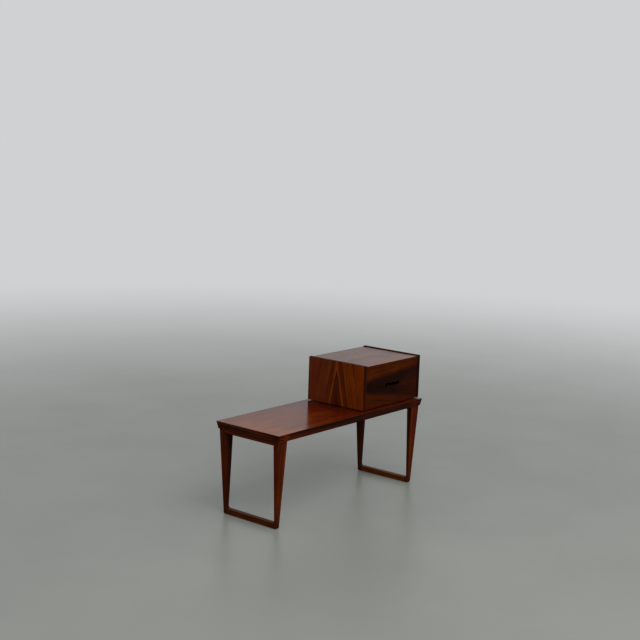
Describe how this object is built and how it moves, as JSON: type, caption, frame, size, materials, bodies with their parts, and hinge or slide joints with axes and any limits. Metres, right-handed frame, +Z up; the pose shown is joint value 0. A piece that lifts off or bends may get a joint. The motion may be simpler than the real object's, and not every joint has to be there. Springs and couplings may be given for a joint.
{
  "type": "telephone bench",
  "caption": "Low wooden bench on two closed tapered leg frames, with a case of stacked drawers on one end of the seat and a bare seat beside it.",
  "frame": {"origin": "on the floor, under the middle of the seat", "axes": "+X along the seat towards the drawer case, -Y the front where the drawers open, +Z up"},
  "size_m": [1.06, 0.37, 0.639],
  "materials": {
    "solid_rosewood": "satin oiled",
    "rosewood_veneer": "satin lacquered",
    "plain_wood": "sanded, unfinished",
    "plywood": "sanded, unfinished",
    "steel": "dull"
  },
  "bodies": {
    "bench": {"seat_front_rail": "solid_rosewood", "seat_back_rail": "solid_rosewood", "seat_left_end_rail": "solid_rosewood", "seat_right_end_rail": "solid_rosewood", "left_front_leg": "solid_rosewood", "left_back_leg": "solid_rosewood", "left_floor_rail": "solid_rosewood", "left_top_rail": "solid_rosewood", "right_front_leg": "solid_rosewood", "right_back_leg": "solid_rosewood", "right_floor_rail": "solid_rosewood", "right_top_rail": "solid_rosewood", "case_left_edge_band": "solid_rosewood", "case_right_edge_band": "solid_rosewood", "seat_panel": "rosewood_veneer", "case_left_side": "rosewood_veneer", "case_right_side": "rosewood_veneer", "case_top": "rosewood_veneer", "seat_cross_rail": "plain_wood", "case_bottom": "plain_wood", "case_divider": "plain_wood", "case_left_spacer": "plain_wood", "case_right_spacer": "plain_wood", "case_dowels": "plain_wood", "frame_dowels": "plain_wood", "case_back": "plywood", "frame_screws": "steel", "case_screws": "steel", "case_back_screws": "steel"},
    "upper_drawer": {"upper_drawer_front": "rosewood_veneer", "upper_drawer_left_side": "plain_wood", "upper_drawer_right_side": "plain_wood", "upper_drawer_back": "plain_wood", "upper_drawer_bottom": "plywood"},
    "lower_drawer": {"lower_drawer_front": "rosewood_veneer", "lower_drawer_left_side": "plain_wood", "lower_drawer_right_side": "plain_wood", "lower_drawer_back": "plain_wood", "lower_drawer_bottom": "plywood"}
  },
  "joints": [
    {"name": "upper_drawer_slide", "type": "slide", "parent": "bench", "child": "upper_drawer", "axis": [0, -1, 0], "range_m": [0, 0.22]},
    {"name": "lower_drawer_slide", "type": "slide", "parent": "bench", "child": "lower_drawer", "axis": [0, -1, 0], "range_m": [0, 0.22]}
  ]
}
